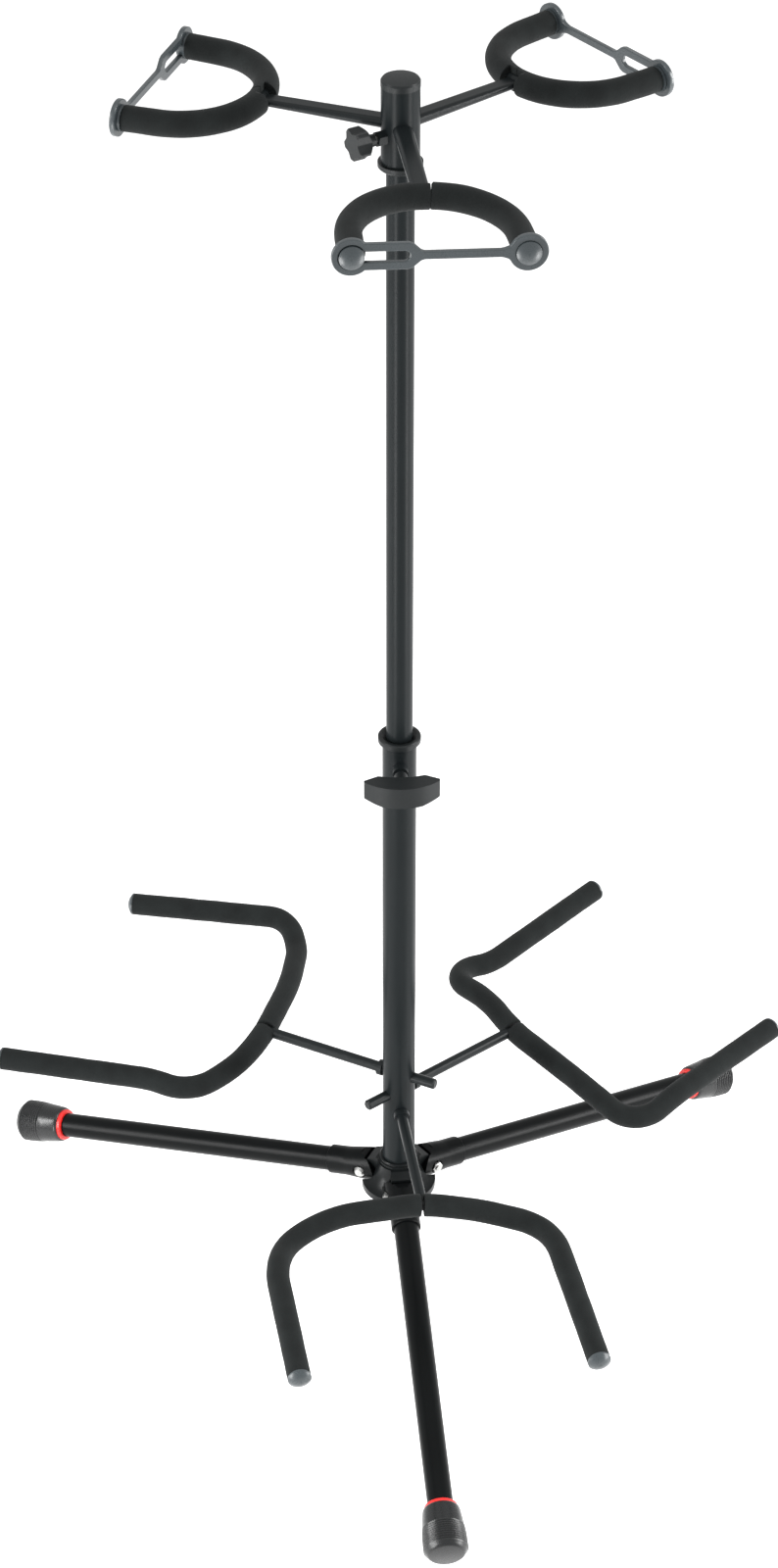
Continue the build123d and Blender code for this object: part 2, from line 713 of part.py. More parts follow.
def build_head():
    """Write the swivel head and its three yokes."""
    write("head_tube", head_tube())
    write("head_bush", head_bush())
    write("head_cap", head_cap())
    write("head_nut", head_nut())
    write("head_screw", head_screw())
    write("star_knob", star_knob())
    for name in PLACES:
        write(f"yoke_frame_{name}", on_yoke(name, yoke_frame(name)))
        write(f"yoke_foam_{name}_r", on_yoke(name, yoke_foam(1)))
        write(f"yoke_foam_{name}_l", on_yoke(name, yoke_foam(-1)))
        buttons = [on_yoke(name, button) for button in yoke_buttons()]
        write(f"yoke_buttons_{name}", Compound(children=buttons))
        write(f"strap_anchor_{name}", on_yoke(name, strap_anchor()))
        write(f"neck_strap_{name}", on_yoke(name, neck_strap()))


def build_cradles():
    """Write the three body cradles."""
    for name in PLACES:
        write(f"cradle_rod_{name}", on_cradle(name, cradle_rod(name)))
        write(f"cradle_foam_{name}_r", on_cradle(name, cradle_foam(name, 1)))
        write(f"cradle_foam_{name}_l", on_cradle(name, cradle_foam(name, -1)))
        caps = [on_cradle(name, cap) for cap in cradle_caps(name)]
        write(f"cradle_caps_{name}", Compound(children=caps))


os.makedirs("parts", exist_ok=True)
build_base()
build_legs()
build_head()
build_cradles()
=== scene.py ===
import json
import math

import bmesh
import bpy
from mathutils import Matrix, Vector, noise


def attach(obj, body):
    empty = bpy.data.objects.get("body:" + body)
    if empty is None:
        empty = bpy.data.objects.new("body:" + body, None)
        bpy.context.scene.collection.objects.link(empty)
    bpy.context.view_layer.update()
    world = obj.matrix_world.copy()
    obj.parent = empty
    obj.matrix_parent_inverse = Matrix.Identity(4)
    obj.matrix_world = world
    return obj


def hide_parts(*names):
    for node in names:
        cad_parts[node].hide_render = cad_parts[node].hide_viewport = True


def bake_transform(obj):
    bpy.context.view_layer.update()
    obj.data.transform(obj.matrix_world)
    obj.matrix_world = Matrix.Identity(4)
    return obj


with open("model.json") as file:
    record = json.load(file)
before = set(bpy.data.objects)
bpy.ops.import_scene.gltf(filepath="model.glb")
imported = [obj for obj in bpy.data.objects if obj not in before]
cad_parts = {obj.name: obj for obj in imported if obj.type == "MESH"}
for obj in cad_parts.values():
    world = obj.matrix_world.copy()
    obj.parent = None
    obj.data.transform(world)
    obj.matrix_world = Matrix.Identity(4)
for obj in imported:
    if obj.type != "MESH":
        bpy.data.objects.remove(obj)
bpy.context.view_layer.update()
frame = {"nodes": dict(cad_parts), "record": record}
NODES = frame["nodes"]
MM = 0.001

# Same places and sizes as the CAD model, in millimetres and degrees.
PLACES = {"front": 0.0, "right": 120.0, "left": -120.0}
LEG_AZIMUTHS = {"front": 0.0, "right": 121.5, "left": -121.5}
SIDES = ((1, "r"), (-1, "l"))
ROD_R = 4.75

YOKES = {
    "front": {"turn": 2.1, "roll": -2.4, "z": 1137.0, "seam": 6.0},
    "right": {"turn": 2.4, "roll": 0.0, "z": 1140.0, "seam": 0.0},
    "left": {"turn": 3.9, "roll": -1.0, "z": 1140.0, "seam": 0.0},
}
YOKE_APEX_R = 113.0
YOKE_R = 62.0
YOKE_SPLAY = 3.2
YOKE_TIP_R = 198.0
YOKE_FOAM_R = 10.25
YOKE_FOAM_GAP = 0.6
ARM_NOTCH = 16.5
NOTCH_DEPTH = 60.0

CRADLES = {
    "front": {"turn": 2.9, "roll": -4.1, "rise": -1.0, "z": 178.5},
    "right": {"turn": 3.1, "roll": 3.0, "rise": -0.2, "z": 194.9},
    "left": {"turn": -1.7, "roll": -0.3, "rise": 0.4, "z": 213.9},
}
CRADLE_R = 132.5
CRADLE_FOAM_R = 10.0
CRADLE_FOAM_GAP = 3.0
CRADLE_LINES = {
    "front": [
        (190.5, -132.1, -10.9), (69.0, -135.7, -5.6), (26.7, -122.0, -14.1),
        (6.9, -80.9, -3.6), (0.0, 0.0, 0.0), (9.4, 50.0, -1.7),
        (22.1, 98.2, -9.6), (49.5, 109.8, -6.3), (189.8, 119.9, -10.7),
    ],
    "right": [
        (198.9, -128.3, -11.6), (67.2, -147.2, -5.3), (15.9, -150.7, -17.4),
        (6.4, -77.4, -4.7), (0.0, 0.0, 0.0), (7.6, 46.0, 1.3),
        (5.2, 106.6, -8.0), (54.3, 94.9, -13.0), (199.4, 116.5, -11.6),
    ],
    "left": [
        (201.7, -123.6, -12.2), (58.6, -157.9, -4.0), (35.5, -133.6, -14.4),
        (13.1, -73.9, -4.8), (0.0, 0.0, 0.0), (0.4, 47.2, -3.2),
        (23.1, 99.3, -6.1), (63.6, 96.6, -7.0), (198.4, 124.7, -12.1),
    ],
}
CRADLE_RADII = {
    "front": [80.0, 42.0, 125.0, 120.0, 250.0, 32.0, 70.0],
    "right": [90.0, 30.0, 300.0, 140.0, 150.0, 27.0, 70.0],
    "left": [30.0, 50.0, 250.0, 120.0, 130.0, 35.0, 100.0],
}

PIVOT_R = 32.6
PIVOT_Z = 97.0
LEG_SLOPE = 12.8
LEG_R = 11.1
FOOT_START = 323.6
FOOT_SKIN = [
    (0.0, LEG_R), (0.0, 14.9), (0.3, 15.5), (1.2, 16.0), (2.4, 16.3),
    (4.5, 16.6), (7.5, 17.0), (11.0, 17.4), (15.0, 17.8), (18.5, 18.1),
]
FOOT_END = [(39.8, 18.0), (41.2, 17.3), (42.6, 16.2), (43.5, 15.2), (43.9, 14.2), (43.9, 0.05)]
GROOVE_COUNT = 9
GROOVE_START = 19.5
GROOVE_PITCH = 2.2
GROOVE_R = 18.2
GROOVE_SWELL = 0.8
GROOVE_SWELL_COUNT = 6
GROOVE_SHAPE = [(0.0, 0.0), (0.3, -1.2), (0.9, -1.2), (1.2, 0.0), (1.7, 0.15)]

STRAP_BACK = 200.6
STRAP_T = 4.0
STRAP_EDGE = 0.6
BUTTON_W = 64.0
STRAP_RING_R = 14.5
STRAP_RING_ROOT = 25.0
STRAP_HOLE_R = 9.8
STRAP_FIXED_HOLE_R = 9.3
STRAP_BAR = 6.0
STRAP_BAR_STEP = 5.0
LOOP_HEIGHT = 21.0
LOOP_WINDOW = 8.6
LOOP_WALL = 0.5
LOOP_LENGTH = 43.0
LOOP_TAPER = 9.0
LOOP_RUN = (-48.0, -42.0, -36.0, -30.0)

# How finely the new meshes are drawn, in millimetres and counts.
PATH_STEP = 2.5
YOKE_STEPS = 40
MIN_ARC_STEPS = 4
SLEEVE_SIDES = 40
FOOT_SIDES = 96
RING_STEPS = 48
KEYHOLE_STEPS = 40
KEYHOLE_END_STEP = 15
END_SHARES = (0.04, 0.12, 0.25, 0.45, 0.7)

# Foam: rounding of the ends, swell of the skin and how firm it is.
YOKE_FOAM = {"round_start": 1.0, "round_end": 0.5, "swell": 0.22}
CRADLE_FOAM = {"round_start": 1.2, "round_end": 0.5, "swell": 0.25}
SWELL_SCALE = 0.06
YOKE_SEED = 3
CRADLE_SEED = 7

# Materials: paints and mouldings as colour, roughness, gloss, grain scale and grain strength.
PAINTS = {
    "mast_paint": ((0.0060, 0.0076, 0.0082), 0.30, 0.08, 1500.0, 0.018),
    "hub_paint": ((0.0042, 0.0050, 0.0052), 0.32, 0.12, 900.0, 0.03),
    "leg_paint": ((0.0022, 0.0026, 0.0027), 0.32, 0.07, 700.0, 0.015),
    "rod_paint": ((0.0060, 0.0075, 0.0080), 0.30, 0.13, 1500.0, 0.03),
}
MOULDINGS = {
    "black_plastic": ((0.0065, 0.0078, 0.0082), 0.42, 0.18, 1400.0, 0.1),
    "grey_plastic": ((0.024, 0.030, 0.033), 0.30, 0.5, 1700.0, 0.05),
    "foot_rubber": ((0.0035, 0.0041, 0.0043), 0.30, 0.42, 900.0, 0.025),
    "red_plastic": ((0.48, 0.010, 0.008), 0.35, 0.4, 900.0, 0.1),
}
ZINC_COLOUR = (0.42, 0.42, 0.41)
FOAM_COLOUR = (0.0046, 0.0056, 0.0056)
RAMP_START = 0.3
RAMP_END = 0.7

# Studio, in metres, degrees and watts.
FLOOR_HALF = 9.0
FLOOR_DROP = 0.42     # below the feet by more than a leg, so a leg folded down stays in sight
FLOOR_TONES = ((0.90, 0.90, 0.90), (0.94, 0.94, 0.94))
FLOOR_GLOW = 0.1
MIDDLE = (0.0, 0.0, 0.6)
UPPER = (0.0, 0.0, 0.9)
FOOT_OF_MAST = (0.0, 0.0, 0.0)
LIGHTS = {
    "key_left": {"place": (-2.6, -0.7, 1.3), "target": MIDDLE, "size": (0.6, 2.4), "power": 110.0},
    "key_right": {"place": (2.6, -0.4, 1.3), "target": MIDDLE, "size": (0.6, 2.4), "power": 120.0},
    "low_left": {"place": (-0.90, -1.00, 0.30), "target": UPPER, "size": (0.36, 0.9), "power": 13.0},
    "low_right": {"place": (1.10, -0.85, 0.30), "target": UPPER, "size": (0.36, 0.9), "power": 11.0},
    "top": {"place": (0.0, -0.4, 3.4), "target": FOOT_OF_MAST, "size": (2.2, 2.2), "power": 20.0},
}
WHITE = (1.0, 1.0, 1.0, 1.0)
CAMERA_LENS = 94.2
CAMERA_SENSOR = 36.0
CAMERA_PLACE = (-0.290, -2.774, 2.5366)
CAMERA_TILT = 54.24
CAMERA_TURN = -5.79
CAMERA_FAR = 50.0


# Node materials -----------------------------------------------------------------------------

def new_material(name):
    """An empty node material with its Principled shader."""
    material = bpy.data.materials.new(name)
    material.use_nodes = True
    tree = material.node_tree
    shader = tree.nodes["Principled BSDF"]
    return material, tree, shader


def noise_factor(tree, scale, detail=3.0):
    """Noise in object space, so that it is as fine on every piece."""
    coords = tree.nodes.new("ShaderNodeTexCoord")
    texture = tree.nodes.new("ShaderNodeTexNoise")
    texture.inputs["Scale"].default_value = scale
    texture.inputs["Detail"].default_value = detail
    tree.links.new(coords.outputs["Object"], texture.inputs["Vector"])
    return texture.outputs["Fac"]


def link_colour(tree, shader, factor, low, high):
    """Let the base colour run between two colours with a factor."""
    ramp = tree.nodes.new("ShaderNodeValToRGB")
    ramp.color_ramp.elements[0].position = RAMP_START
    ramp.color_ramp.elements[1].position = RAMP_END
    ramp.color_ramp.elements[0].color = (*low, 1.0)
    ramp.color_ramp.elements[1].color = (*high, 1.0)
    tree.links.new(factor, ramp.inputs["Fac"])
    tree.links.new(ramp.outputs["Color"], shader.inputs["Base Color"])


def link_roughness(tree, shader, factor, low, high):
    """Let the roughness run between two values with a factor."""
    ramp = tree.nodes.new("ShaderNodeMapRange")
    ramp.inputs["From Min"].default_value = RAMP_START
    ramp.inputs["From Max"].default_value = RAMP_END
    ramp.inputs["To Min"].default_value = low
    ramp.inputs["To Max"].default_value = high
    tree.links.new(factor, ramp.inputs["Value"])
    tree.links.new(ramp.outputs["Result"], shader.inputs["Roughness"])


def add_bump(tree, shader, height, strength, distance):
    """Feed a height into the shader's normal."""
    bump = tree.nodes.new("ShaderNodeBump")
    bump.inputs["Strength"].default_value = strength
    bump.inputs["Distance"].default_value = distance
    tree.links.new(height, bump.inputs["Height"])
    tree.links.new(bump.outputs["Normal"], shader.inputs["Normal"])


def scaled(colour, factor):
    """A colour made lighter or darker."""
    return tuple(c * factor for c in colour)


def painted_metal(name, colour, roughness, gloss, grain, strength):
    """Baked paint on steel: fine orange peel, slightly uneven gloss."""
    material, tree, shader = new_material(name)
    link_colour(tree, shader, noise_factor(tree, 14.0), colour, scaled(colour, 1.18))
    link_roughness(tree, shader, noise_factor(tree, 90.0), roughness - 0.01, roughness + 0.015)
    add_bump(tree, shader, noise_factor(tree, grain, detail=2.0), strength, 0.0002)
    shader.inputs["Specular IOR Level"].default_value = gloss
    return material


def plated_steel(name, colour):
    """Zinc plating: bright, slightly blotchy."""
    material, tree, shader = new_material(name)
    blotch = noise_factor(tree, 350.0)
    link_colour(tree, shader, blotch, scaled(colour, 0.8), colour)
    link_roughness(tree, shader, blotch, 0.22, 0.38)
    add_bump(tree, shader, noise_factor(tree, 1600.0), 0.15, 0.0001)
    shader.inputs["Metallic"].default_value = 1.0
    return material


def moulded(name, colour, roughness, gloss, grain, strength):
    """Moulded plastic or rubber with a fine spark-eroded grain."""
    material, tree, shader = new_material(name)
    link_colour(tree, shader, noise_factor(tree, 30.0), colour, scaled(colour, 1.2))
    texture = noise_factor(tree, grain, detail=2.0)
    link_roughness(tree, shader, texture, roughness - 0.06, roughness + 0.06)
    add_bump(tree, shader, texture, strength, 0.0002)
    shader.inputs["Specular IOR Level"].default_value = gloss
    return material


def foam_material(name, colour):
    """Closed-cell foam: a matt skin with fine pores and faint mottling."""
    material, tree, shader = new_material(name)
    link_colour(tree, shader, noise_factor(tree, 60.0, detail=4.0), colour, scaled(colour, 1.55))
    coords = tree.nodes.new("ShaderNodeTexCoord")
    cells = tree.nodes.new("ShaderNodeTexVoronoi")
    cells.inputs["Scale"].default_value = 1300.0
    tree.links.new(coords.outputs["Object"], cells.inputs["Vector"])
    total = tree.nodes.new("ShaderNodeMath")
    total.operation = "ADD"
    tree.links.new(cells.outputs["Distance"], total.inputs[0])
    tree.links.new(noise_factor(tree, 420.0), total.inputs[1])
    add_bump(tree, shader, total.outputs["Value"], 0.35, 0.0004)
    shader.inputs["Roughness"].default_value = 0.88
    shader.inputs["Specular IOR Level"].default_value = 0.12
    shader.inputs["Sheen Weight"].default_value = 0.03
    shader.inputs["Sheen Roughness"].default_value = 0.5
    return material


def all_materials():
    """Every material slot of the stand and its material."""
    out = {name: painted_metal(name, *values) for name, values in PAINTS.items()}
    out.update({name: moulded(name, *values) for name, values in MOULDINGS.items()})
    out["zinc_steel"] = plated_steel("zinc_steel", ZINC_COLOUR)
    out["foam"] = foam_material("foam", FOAM_COLOUR)
    return out


MATERIALS = all_materials()


# Mesh helpers -------------------------------------------------------------------------------

def around(azimuth):
    """Matrix that turns a piece drawn along +X to its azimuth from -Y towards +X."""
    return Matrix.Rotation(math.radians(azimuth - 90.0), 4, "Z")


def moved(x, y, z):
    """Matrix of a move in millimetres."""
    return Matrix.Translation(Vector((x, y, z)) * MM)


def link_object(name, data):
    """Put a mesh, curve, light or camera in the scene."""
    obj = bpy.data.objects.new(name, data)
    bpy.context.scene.collection.objects.link(obj)
    return obj


def evaluated_mesh(obj):
    """The mesh that an object shows, with its modifiers or curve settings applied."""
    bpy.context.view_layer.update()
    depsgraph = bpy.context.evaluated_depsgraph_get()
    return bpy.data.meshes.new_from_object(obj.evaluated_get(depsgraph))


def dress(obj, slot):
    """Give a new piece its material and smooth faces."""
    mesh = obj.data
    mesh.polygons.foreach_set("use_smooth", [True] * len(mesh.polygons))
    mesh.materials.clear()
    mesh.materials.append(MATERIALS[slot])


def add_piece(name, verts, faces, matrix, slot):
    """Make a piece from millimetre points, placed in the shared frame, with its material."""
    mesh = bpy.data.meshes.new(name)
    mesh.from_pydata([matrix @ (Vector(v) * MM) for v in verts], [], faces)
    mesh.validate()
    bm = bmesh.new()
    bm.from_mesh(mesh)
    bmesh.ops.recalc_face_normals(bm, faces=bm.faces)
    bm.to_mesh(mesh)
    bm.free()
    obj = link_object(name, mesh)
    dress(obj, slot)
    return obj


def running_lengths(points):
    """Distance along a line of points, at each point."""
    lengths = [0.0]
    for a, b in zip(points, points[1:]):
        lengths.append(lengths[-1] + (b - a).length)
    return lengths


def resample(points, step):
    """Even points along a line of points."""
    lengths = running_lengths(points)
    count = max(2, round(lengths[-1] / step))
    out = []
    j = 0
    for k in range(count + 1):
        target = lengths[-1] * k / count
        while j < len(points) - 2 and lengths[j + 1] < target:
            j += 1
        span = lengths[j + 1] - lengths[j]
        share = 0.0 if span == 0 else (target - lengths[j]) / span
        out.append(points[j].lerp(points[j + 1], share))
    return out


def rounded_path(points, radii, step):
    """Points along straight runs joined by tangent arcs."""
    out = [Vector(points[0])]
    for i, radius in enumerate(radii, start=1):
        corner = Vector(points[i])
        back = (Vector(points[i - 1]) - corner).normalized()
        ahead = (Vector(points[i + 1]) - corner).normalized()
        turn = math.pi - back.angle(ahead)
        reach = radius * math.tan(turn / 2)
        centre = corner + (back + ahead).normalized() * (radius / math.cos(turn / 2))
        first = corner + back * reach
        axis = (first - centre).cross(-back).normalized()
        steps = max(MIN_ARC_STEPS, round(radius * turn / step))
        for k in range(steps + 1):
            spin = Matrix.Rotation(turn * k / steps, 3, axis)
            out.append(centre + spin @ (first - centre))
    out.append(Vector(points[-1]))
    return resample(out, step)


def fine_ends(points):
    """Add close rows at both ends so that the rounded edges are smooth."""
    head = [points[0].lerp(points[1], share) for share in END_SHARES]
    tail = [points[-1].lerp(points[-2], share) for share in reversed(END_SHARES)]
    return [points[0]] + head + points[1:-1] + tail + [points[-1]]


def frames_along(points):
    """A centre, a side and an up direction at each point, with no twist."""
    up = Vector((0, 0, 1))
    frames = []
    for i, point in enumerate(points):
        before = points[max(i - 1, 0)]
        after = points[min(i + 1, len(points) - 1)]
        tangent = (after - before).normalized()
        up = (up - tangent * up.dot(tangent)).normalized()
        frames.append((point, tangent.cross(up), up))
    return frames


def ring_directions(side, up):
    """Unit vectors round a sleeve, from its side direction towards up."""
    out = []
    for k in range(SLEEVE_SIDES):
        angle = 2 * math.pi * k / SLEEVE_SIDES
        out.append(side * math.cos(angle) + up * math.sin(angle))
    return out


def end_drop(gap, edge):
    """How far the skin of a rounded end has dropped at this distance from the end."""
    if gap >= edge:
        return 0.0
    return edge * (1 - math.sqrt(max(0.0, 1 - (1 - gap / edge) ** 2)))


def band_faces(rows, count, first=0):
    """Faces between neighbouring rings of vertices."""
    faces = []
    for i in range(rows - 1):
        for k in range(count):
            a = first + i * count + k
            b = first + i * count + (k + 1) % count
            faces.append((a, b, b + count, a + count))
    return faces


def end_faces(row, count, shift):
    """Faces across a sleeve's wall at one end, from the skin to the bore."""
    faces = []
    for k in range(count):
        a = row * count + k
        b = row * count + (k + 1) % count
        faces.append((a, b, b + shift, a + shift))
    return faces


def sleeve(points, outer, shape, seed):
    """Vertices and faces of a foam sleeve: outer skin, rounded ends and bore."""
    lengths = running_lengths(points)
    skin = []
    bore = []
    for (point, side, up), s in zip(frames_along(points), lengths):
        start_drop = end_drop(s, shape["round_start"])
        radius = outer - start_drop - end_drop(lengths[-1] - s, shape["round_end"])
        for direction in ring_directions(side, up):
            sample = (point + direction * radius) * SWELL_SCALE + Vector((seed, 0, 0))
            swell = shape["swell"] * noise.noise(sample)
            skin.append(point + direction * (radius + swell))
            bore.append(point + direction * ROD_R)
    rows = len(points)
    faces = band_faces(rows, SLEEVE_SIDES) + band_faces(rows, SLEEVE_SIDES, len(skin))
    for row in (0, rows - 1):
        faces += end_faces(row, SLEEVE_SIDES, len(skin))
    return skin + bore, faces


def lathe(profile, count):
    """Vertices and faces of a turned piece about X from (distance, radius) points."""
    verts = []
    for x, r in profile:
        for k in range(count):
            angle = 2 * math.pi * k / count
            verts.append((x, r * math.cos(angle), r * math.sin(angle)))
    return verts, band_faces(len(profile), count)


# Foam ---------------------------------------------------------------------------------------

def yoke_matrix(name):
    """Matrix that puts a yoke, drawn level at zero, on the head."""
    data = YOKES[name]
    turn = around(PLACES[name] + data["turn"])
    roll = Matrix.Rotation(math.radians(data["roll"]), 4, "X")
    return moved(0, 0, data["z"]) @ turn @ roll


def yoke_points(start, side):
    """Centre line of part of a yoke, from a seam this far sideways of the weld to one tip."""
    centre = YOKE_APEX_R + YOKE_R
    first = math.asin(side * start / YOKE_R)
    last = math.radians(90.0 - YOKE_SPLAY)
    points = []
    for k in range(YOKE_STEPS + 1):
        angle = first + (last - first) * k / YOKE_STEPS
        points.append(Vector((centre - YOKE_R * math.cos(angle), side * YOKE_R * math.sin(angle), 0)))
    run = YOKE_TIP_R - points[-1].x
    points.append(points[-1] + Vector((run, side * run * math.tan(math.radians(YOKE_SPLAY)), 0)))
    return resample(points, PATH_STEP)


def cut_notch(obj, matrix):
    """Cut the foam away round the arm's end."""
    bm = bmesh.new()
    bmesh.ops.create_cube(bm, size=1.0)
    mesh = bpy.data.meshes.new("notch")
    bm.to_mesh(mesh)
    bm.free()
    mesh.transform(Matrix.Diagonal((NOTCH_DEPTH * MM, ARM_NOTCH * MM, NOTCH_DEPTH * MM, 1)))
    mesh.transform(matrix @ moved(YOKE_APEX_R - NOTCH_DEPTH / 2, 0, 0))
    box = link_object("notch", mesh)
    cut = obj.modifiers.new("cut", "BOOLEAN")
    cut.object = box
    cut.operation = "DIFFERENCE"
    cut.solver = "EXACT"
    result = evaluated_mesh(obj)
    obj.modifiers.remove(cut)
    whole = obj.data
    obj.data = result
    bpy.data.meshes.remove(whole)
    bpy.data.objects.remove(box)


def make_yoke_foam():
    """Foam sleeves on the three neck yokes."""
    for name, data in YOKES.items():
        matrix = yoke_matrix(name)
        for side, letter in SIDES:
            start = data["seam"] + side * YOKE_FOAM_GAP / 2
            points = fine_ends(yoke_points(start, side))
            seed = YOKE_SEED * PLACES[name] + side
            verts, faces = sleeve(points, YOKE_FOAM_R, YOKE_FOAM, seed)
            node = f"yoke_foam_{name}_{letter}"
            obj = add_piece(node + "_skin", verts, faces, matrix, "foam")
            cut_notch(obj, matrix)
            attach(obj, "head")
            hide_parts(node)


def cradle_matrix(name):
    """Matrix that puts a cradle, drawn along +X from the mast axis, in its hole."""
    data = CRADLES[name]
    turn = around(PLACES[name] + data["turn"])
    pitch = Matrix.Rotation(math.radians(-data["rise"]), 4, "Y")
    roll = Matrix.Rotation(math.radians(data["roll"]), 4, "X")
    return moved(0, 0, data["z"]) @ turn @ pitch @ roll


def cradle_points(name, side):
    """Centre line of half a cradle, from beside the weld to its tip; side is +1 or -1."""
    line = rounded_path(CRADLE_LINES[name], CRADLE_RADII[name], PATH_STEP)
    if side < 0:
        line = line[::-1]
    edge = CRADLE_FOAM_GAP / 2
    out = []
    for before, after in zip(line, line[1:]):
        if side * before.y < edge <= side * after.y:
            out = [before.lerp(after, (side * edge - before.y) / (after.y - before.y))]
        if out:
            out.append(after)
    return [p + Vector((CRADLE_R, 0, 0)) for p in resample(out, PATH_STEP)]


def make_cradle_foam():
    """Foam sleeves on the three body cradles."""
    for name in CRADLES:
        for side, letter in SIDES:
            points = fine_ends(cradle_points(name, side))
            seed = CRADLE_SEED * PLACES[name] + side
            verts, faces = sleeve(points, CRADLE_FOAM_R, CRADLE_FOAM, seed)
            node = f"cradle_foam_{name}_{letter}"
            obj = add_piece(node + "_skin", verts, faces, cradle_matrix(name), "foam")
            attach(obj, f"cradle_{name}")
            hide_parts(node)


# Feet ---------------------------------------------------------------------------------------

def leg_matrix(azimuth):
    """Matrix of a leg's own frame: origin at the pivot, X along the leg."""
    slope = Matrix.Rotation(math.radians(LEG_SLOPE), 4, "Y")
    return around(azimuth) @ moved(PIVOT_R, 0, PIVOT_Z) @ slope


def foot_profile():
    """Outline of the rubber foot, with fine grooves on its outer half."""
    grooves = []
    for k in range(GROOVE_COUNT):
        start = GROOVE_START + k * GROOVE_PITCH
        swell = math.sin(math.pi / 2 * min(1.0, (k + 1) / GROOVE_SWELL_COUNT))
        radius = GROOVE_R + GROOVE_SWELL * swell
        grooves += [(start + x, radius + r) for x, r in GROOVE_SHAPE]
    return [(FOOT_START + x, r) for x, r in FOOT_SKIN + grooves + FOOT_END]


def make_feet():
    """Ribbed rubber feet, flat where they stand on the floor."""
    verts, faces = lathe(foot_profile(), FOOT_SIDES)
    for name, azimuth in LEG_AZIMUTHS.items():
        obj = add_piece(f"rubber_foot_{name}_skin", verts, faces, leg_matrix(azimuth), "foot_rubber")
        for vert in obj.data.vertices:
            vert.co.z = max(vert.co.z, 0.0)
        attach(obj, f"leg_{name}")
        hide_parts(f"rubber_foot_{name}")


# Neck straps --------------------------------------------------------------------------------

def circle_points(centre, radius, start, end, count):
    """Points along an arc, angles in degrees."""
    out = []
    for k in range(count + 1):
        angle = math.radians(start + (end - start) * k / count)
        out.append((centre + radius * math.cos(angle), radius * math.sin(angle)))
    return out


def strap_top_edge():
    """Upper edge from the loop to the fixed ring, as (sideways, up) points.

    Points a millimetre or two either side of each corner soften it.
    """
    half = LOOP_HEIGHT / 2
    bar = STRAP_BAR / 2
    loop_end = LOOP_LENGTH - BUTTON_W
    bar_start = loop_end + LOOP_TAPER
    tab_w = BUTTON_W - STRAP_RING_R * math.cos(math.radians(STRAP_RING_ROOT))
    points = [
        (loop_end - 2, half), (loop_end + 1.5, half - 1.2),
        (bar_start - 1.5, bar + 0.8), (bar_start + 1, bar),
    ]
    w = bar_start + 1 + STRAP_BAR_STEP
    while w < tab_w - 6:
        points.append((w, bar))
        w += STRAP_BAR_STEP
    return points + [(tab_w - 4.5, bar + 0.5), (tab_w - 1.5, bar + 1.6)]


def strap_outer():
    """Outer edge of the strap: bar, fixed ring and the wide loop's end."""
    ring_angle = math.degrees(math.asin(LOOP_HEIGHT / 2 / STRAP_RING_R))
    root = 180 - STRAP_RING_ROOT
    top = strap_top_edge()
    ring = circle_points(BUTTON_W, STRAP_RING_R, root, -root, RING_STEPS)
    bottom = [(w, -z) for w, z in reversed(top)]
    open_ring = circle_points(-BUTTON_W, STRAP_RING_R, -ring_angle, ring_angle - 360, RING_STEPS)
    return top + ring + bottom + open_ring


def strap_keyhole():
    """The loop's round hole and the slot that opens from it."""
    half = LOOP_WINDOW / 2
    slot_end = LOOP_LENGTH - BUTTON_W - LOOP_WALL
    hole_angle = math.degrees(math.asin(half / STRAP_HOLE_R))
    hole = circle_points(-BUTTON_W, STRAP_HOLE_R, hole_angle, 360 - hole_angle, KEYHOLE_STEPS)
    end_steps = 180 // KEYHOLE_END_STEP
    end = circle_points(slot_end - half, half, -90, 90, end_steps)
    lower = [(w, -half) for w in LOOP_RUN]
    upper = [(w, half) for w in reversed(LOOP_RUN)]
    return hole + lower + end + upper


def strap_mesh():
    """A flat moulding with rounded edges, drawn in its own plane."""
    fixed_hole = circle_points(BUTTON_W, STRAP_FIXED_HOLE_R, 0, 360, RING_STEPS)[:-1]
    curve = bpy.data.curves.new("strap_curve", "CURVE")
    curve.dimensions = "2D"
    curve.fill_mode = "BOTH"
    for loop in (strap_outer(), fixed_hole, strap_keyhole()):
        spline = curve.splines.new("POLY")
        spline.points.add(len(loop) - 1)
        for point, (w, z) in zip(spline.points, loop):
            point.co = (w * MM, z * MM, 0, 1)
        spline.use_cyclic_u = True
    curve.extrude = (STRAP_T / 2 - STRAP_EDGE) * MM
    curve.bevel_depth = STRAP_EDGE * MM
    curve.bevel_resolution = 2
    curve.offset = -STRAP_EDGE * MM
    flat = link_object("strap_curve", curve)
    mesh = evaluated_mesh(flat)
    bpy.data.objects.remove(flat)
    return mesh


def make_straps():
    """Neck straps, each one moulding, placed upright in its yoke's frame."""
    middle = STRAP_BACK + STRAP_T / 2
    upright = Matrix(((0, 0, 1, 0), (1, 0, 0, 0), (0, 1, 0, 0), (0, 0, 0, 1)))
    for name in PLACES:
        matrix = yoke_matrix(name)
        mesh = strap_mesh()
        mesh.transform(matrix @ moved(middle, 0, 0) @ upright)
        obj = link_object(f"neck_strap_{name}_skin", mesh)
        dress(obj, "grey_plastic")
        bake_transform(obj)
        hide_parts(f"neck_strap_{name}", f"strap_anchor_{name}")


# CAD nodes that stay ------------------------------------------------------------------------

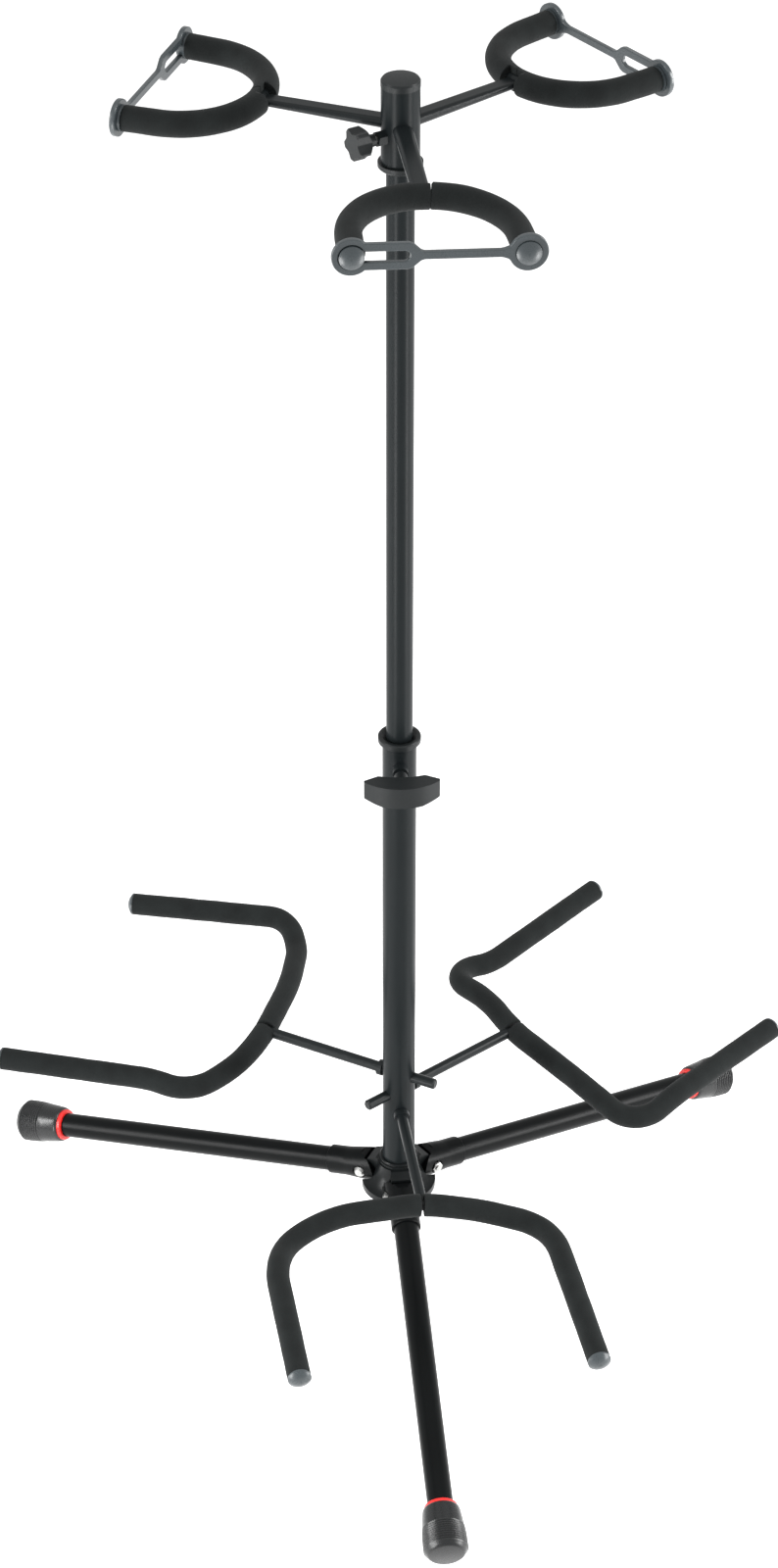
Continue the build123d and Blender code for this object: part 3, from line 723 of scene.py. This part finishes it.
def finish_nodes():
    """Give every CAD node its slot's material."""
    slots = {entry["node"]: entry["material_slot"] for entry in frame["record"]["subparts"]}
    for name, obj in NODES.items():
        material = MATERIALS[slots[name]]
        if not obj.material_slots:
            obj.data.materials.append(material)
        for slot in obj.material_slots:
            slot.material = material


# Stage, lights and camera -------------------------------------------------------------------

def make_stage():
    """A plain pale floor under the folded legs, open on every side so that no view is blocked."""
    corners = ((-1, -1), (1, -1), (1, 1), (-1, 1))
    verts = [(x * FLOOR_HALF, y * FLOOR_HALF, -FLOOR_DROP) for x, y in corners]
    mesh = bpy.data.meshes.new("studio_floor")
    mesh.from_pydata(verts, [], [(0, 1, 2, 3)])
    material, tree, shader = new_material("studio_floor")
    link_colour(tree, shader, noise_factor(tree, 1.5), *FLOOR_TONES)
    shader.inputs["Roughness"].default_value = 0.85
    shader.inputs["Emission Color"].default_value = WHITE
    shader.inputs["Emission Strength"].default_value = FLOOR_GLOW
    mesh.materials.append(material)
    floor = link_object("studio_floor", mesh)


def area_light(name, place, target, size, power):
    """A soft rectangular light aimed at a point."""
    data = bpy.data.lights.new(name, "AREA")
    data.shape = "RECTANGLE"
    data.size, data.size_y = size
    data.energy = power
    lamp = link_object(name, data)
    lamp.location = place
    aim = Vector(target) - Vector(place)
    lamp.rotation_euler = aim.to_track_quat("-Z", "Y").to_euler()


def make_lights():
    """Side softboxes, low strips that draw a sheen on the mast, a top light and a white surround."""
    for name, settings in LIGHTS.items():
        area_light(name, **settings)
    world = bpy.data.worlds.new("studio")
    world.use_nodes = True
    background = world.node_tree.nodes["Background"]
    background.inputs["Color"].default_value = WHITE
    background.inputs["Strength"].default_value = 1.0
    bpy.context.scene.world = world


def make_camera():
    """Camera at the photograph's viewing angle."""
    data = bpy.data.cameras.new("camera")
    data.lens = CAMERA_LENS
    data.sensor_width = CAMERA_SENSOR
    data.sensor_fit = "AUTO"
    data.clip_end = CAMERA_FAR
    camera = link_object("camera", data)
    camera.location = CAMERA_PLACE
    camera.rotation_euler = (math.radians(CAMERA_TILT), 0.0, math.radians(CAMERA_TURN))
    bpy.context.scene.camera = camera


# Plain display of the scene's light, so that white paper stays white.
bpy.context.scene.view_settings.view_transform = "Standard"
make_camera()
make_stage()
make_lights()
finish_nodes()
make_yoke_foam()
make_cradle_foam()
make_feet()
make_straps()
